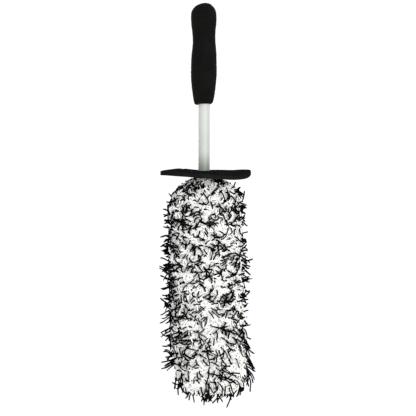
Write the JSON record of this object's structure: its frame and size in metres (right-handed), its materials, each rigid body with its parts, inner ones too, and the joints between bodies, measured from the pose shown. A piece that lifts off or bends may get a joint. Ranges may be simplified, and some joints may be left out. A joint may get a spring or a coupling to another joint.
{
  "type": "wheel brush",
  "caption": "Hand wheel brush with a soft contoured grip, slim shaft, sliding splash guard disc and a flexible padded head in a removable long-pile cover.",
  "frame": {"origin": "on the shaft's axis at the middle of the grip, where the hand holds the brush", "axes": "+Z along the shaft towards the closed end of the grip; X across the head's width; -Y is the front face"},
  "size_m": [0.102, 0.102, 0.446],
  "materials": {
    "shaft_plastic": "satin",
    "plug_plastic": "satin",
    "grip_foam": "matte",
    "stop_rubber": "matte",
    "socket_plastic": "satin",
    "pin_steel": "satin",
    "blade_plastic": "satin",
    "rivet_metal": "satin",
    "bumper_rubber": "matte",
    "core_foam": "matte",
    "guard_foam": "matte",
    "backing_fabric": "matte",
    "hem_fabric": "matte",
    "elastic": "matte",
    "pile_yarn": "matte"
  },
  "bodies": {
    "handle": {"shaft": "shaft_plastic", "shaft_end_plug": "plug_plastic", "grip": "grip_foam", "guard_stop": "stop_rubber", "neck_socket": "socket_plastic", "neck_pin": "pin_steel", "flex_blade": "blade_plastic", "blade_rivets": "rivet_metal", "tip_bumper": "bumper_rubber", "foam_pad_front": "core_foam", "foam_pad_back": "core_foam"},
    "guard": {"splash_guard": "guard_foam"},
    "cover": {"cover_panel_front": "backing_fabric", "cover_panel_back": "backing_fabric", "cover_gusset": "backing_fabric", "cover_collar": "backing_fabric", "hem_band": "hem_fabric", "hem_elastic": "elastic", "pile_front": "pile_yarn", "pile_back": "pile_yarn", "pile_left": "pile_yarn", "pile_right": "pile_yarn", "pile_tip": "pile_yarn"}
  },
  "joints": [
    {"name": "guard_slide", "type": "slide", "parent": "handle", "child": "guard", "axis": [0, 0, 1], "range_m": [0, 0.073]},
    {"name": "cover_pull", "type": "slide", "parent": "handle", "child": "cover", "axis": [0, 0, -1], "range_m": [0, 0.245], "deforming": ["cover_collar", "hem_band", "hem_elastic"]}
  ]
}
